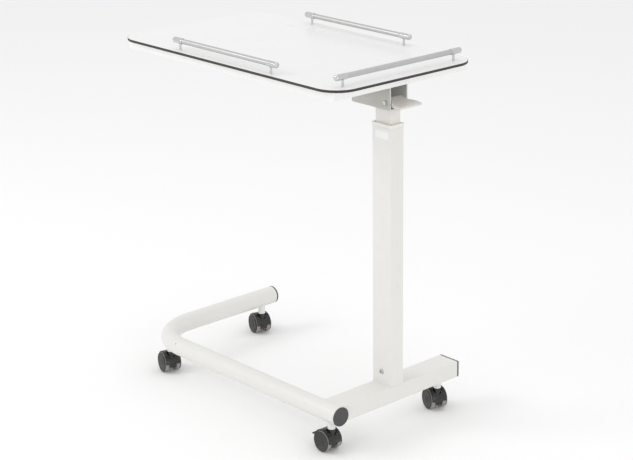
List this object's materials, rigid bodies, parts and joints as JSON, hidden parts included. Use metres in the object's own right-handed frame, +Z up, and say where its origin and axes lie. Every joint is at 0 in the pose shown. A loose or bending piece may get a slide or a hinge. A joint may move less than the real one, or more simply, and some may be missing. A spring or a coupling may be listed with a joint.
{
  "type": "overbed table",
  "caption": "Height-adjustable overbed table: a laminate top with low gallery rails, a telescopic column with a lift release lever, and a C-shaped tube base on twin-wheel casters.",
  "frame": {"origin": "on the floor, under the middle of the table's bounding box", "axes": "+Z up, +X from the free end of the top towards the column, +Y from the user's side towards the bed, open side of the base"},
  "size_m": [0.7794, 0.437, 0.8764],
  "materials": {
    "powder_coat": "warm off-white powder coat, satin",
    "laminate": "white compact laminate with a dark core at its edge, semi-gloss",
    "lever_plastic": "beige-grey moulded plastic, satin",
    "collar_plastic": "off-white moulded plastic",
    "dark_plastic": "dark grey moulded plastic, fine texture",
    "caster_nylon": "black nylon, semi-gloss",
    "wheel_plastic": "black plastic disc with a grey tread, matt",
    "chrome": "polished",
    "rail_aluminium": "satin anodised",
    "zinc": "zinc plated",
    "spring_black": "black paint, gloss"
  },
  "bodies": {
    "base": {"base_round_tube": "powder_coat", "base_cross_tube": "powder_coat", "front_tube_cap": "dark_plastic", "leg_end_cap": "dark_plastic", "cross_tube_cap": "dark_plastic", "outer_column": "powder_coat", "column_collar": "collar_plastic", "foot_bolt": "zinc", "gas_cylinder": "spring_black", "rod_guide": "collar_plastic", "front_right_socket": "powder_coat", "front_right_stem": "zinc", "front_left_socket": "powder_coat", "front_left_stem": "zinc", "back_left_socket": "powder_coat", "back_left_stem": "zinc", "back_right_socket": "powder_coat", "back_right_stem": "zinc"},
    "mast": {"table_board": "laminate", "support_tray": "powder_coat", "front_rail": "rail_aluminium", "front_rail_end_a": "chrome", "front_rail_end_b": "chrome", "back_rail": "rail_aluminium", "back_rail_end_a": "chrome", "back_rail_end_b": "chrome", "end_rail": "rail_aluminium", "end_rail_end_a": "chrome", "end_rail_end_b": "chrome", "head_bracket": "powder_coat", "lever_pivot_bolt": "zinc", "lever_pivot_nut": "zinc", "mast_tube": "powder_coat", "lower_bush": "collar_plastic", "gas_rod": "chrome", "gas_piston": "collar_plastic", "release_head": "zinc"},
    "lever": {"release_lever": "lever_plastic"},
    "pin": {"release_pin": "chrome"},
    "front_right_caster": {"front_right_hood": "caster_nylon", "front_right_axle": "zinc"},
    "front_right_front_wheel": {"front_right_wheel_front": "wheel_plastic"},
    "front_right_back_wheel": {"front_right_wheel_back": "wheel_plastic"},
    "front_right_pedal": {"front_right_brake_pedal": "caster_nylon"},
    "front_left_caster": {"front_left_hood": "caster_nylon", "front_left_axle": "zinc"},
    "front_left_front_wheel": {"front_left_wheel_front": "wheel_plastic"},
    "front_left_back_wheel": {"front_left_wheel_back": "wheel_plastic"},
    "back_left_caster": {"back_left_hood": "caster_nylon", "back_left_axle": "zinc"},
    "back_left_front_wheel": {"back_left_wheel_front": "wheel_plastic"},
    "back_left_back_wheel": {"back_left_wheel_back": "wheel_plastic"},
    "back_left_pedal": {"back_left_brake_pedal": "caster_nylon"},
    "back_right_caster": {"back_right_hood": "caster_nylon", "back_right_axle": "zinc"},
    "back_right_front_wheel": {"back_right_wheel_front": "wheel_plastic"},
    "back_right_back_wheel": {"back_right_wheel_back": "wheel_plastic"}
  },
  "joints": [
    {"name": "column_lift", "type": "slide", "parent": "base", "child": "mast", "axis": [0, 0, 1], "range_m": [-0.03, 0.3]},
    {"name": "release_lever_hinge", "type": "hinge", "parent": "mast", "child": "lever", "pos_m": [0.3354, 0, 0.7844], "axis": [0, -1, 0], "range_deg": [0, 10], "stiffness_Nm_per_rad": 4, "springref_deg": -1.15},
    {"name": "release_pin_slide", "type": "slide", "parent": "mast", "child": "pin", "axis": [0, 0, -1], "range_m": [0, 0.0037]},
    {"name": "front_right_swivel", "type": "hinge", "parent": "base", "child": "front_right_caster", "pos_m": [0.32, -0.181, 0.06], "axis": [0, 0, 1], "continuous": true},
    {"name": "front_right_front_wheel_spin", "type": "hinge", "parent": "front_right_caster", "child": "front_right_front_wheel", "pos_m": [0.30632, -0.19637, 0.02475], "axis": [0.0436, 0.999, 0], "continuous": true},
    {"name": "front_right_back_wheel_spin", "type": "hinge", "parent": "front_right_caster", "child": "front_right_back_wheel", "pos_m": [0.30771, -0.1645, 0.02475], "axis": [0.0436, 0.999, 0], "continuous": true},
    {"name": "front_right_brake_hinge", "type": "hinge", "parent": "front_right_caster", "child": "front_right_pedal", "pos_m": [0.28903, -0.17965, 0.03275], "axis": [0.0436, 0.999, 0], "range_deg": [0, 14]},
    {"name": "front_left_swivel", "type": "hinge", "parent": "base", "child": "front_left_caster", "pos_m": [-0.29336, -0.15846, 0.06], "axis": [0, 0, 1], "continuous": true},
    {"name": "front_left_front_wheel_spin", "type": "hinge", "parent": "front_left_caster", "child": "front_left_front_wheel", "pos_m": [-0.31025, -0.17021, 0.02475], "axis": [0.2756, 0.9613, 0], "continuous": true},
    {"name": "front_left_back_wheel_spin", "type": "hinge", "parent": "front_left_caster", "child": "front_left_back_wheel", "pos_m": [-0.30146, -0.13955, 0.02475], "axis": [0.2756, 0.9613, 0], "continuous": true},
    {"name": "back_left_swivel", "type": "hinge", "parent": "base", "child": "back_left_caster", "pos_m": [-0.334, 0.172, 0.06], "axis": [0, 0, 1], "continuous": true},
    {"name": "back_left_front_wheel_spin", "type": "hinge", "parent": "back_left_caster", "child": "back_left_front_wheel", "pos_m": [-0.35069, 0.15996, 0.02475], "axis": [0.2588, 0.9659, 0], "continuous": true},
    {"name": "back_left_back_wheel_spin", "type": "hinge", "parent": "back_left_caster", "child": "back_left_back_wheel", "pos_m": [-0.34243, 0.19077, 0.02475], "axis": [0.2588, 0.9659, 0], "continuous": true},
    {"name": "back_left_brake_hinge", "type": "hinge", "parent": "back_left_caster", "child": "back_left_pedal", "pos_m": [-0.36394, 0.18002, 0.03275], "axis": [0.2588, 0.9659, 0], "range_deg": [0, 14]},
    {"name": "back_right_swivel", "type": "hinge", "parent": "base", "child": "back_right_caster", "pos_m": [0.3257, 0.153, 0.06], "axis": [0, 0, 1], "continuous": true},
    {"name": "back_right_front_wheel_spin", "type": "hinge", "parent": "back_right_caster", "child": "back_right_front_wheel", "pos_m": [0.30822, 0.14215, 0.02475], "axis": [0.3256, 0.9455, 0], "continuous": true},
    {"name": "back_right_back_wheel_spin", "type": "hinge", "parent": "back_right_caster", "child": "back_right_back_wheel", "pos_m": [0.3186, 0.17231, 0.02475], "axis": [0.3256, 0.9455, 0], "continuous": true}
  ],
  "couplings": [
    {"joint": "release_pin_slide", "follows": "release_lever_hinge", "m_per_rad": 0.0205}
  ]
}
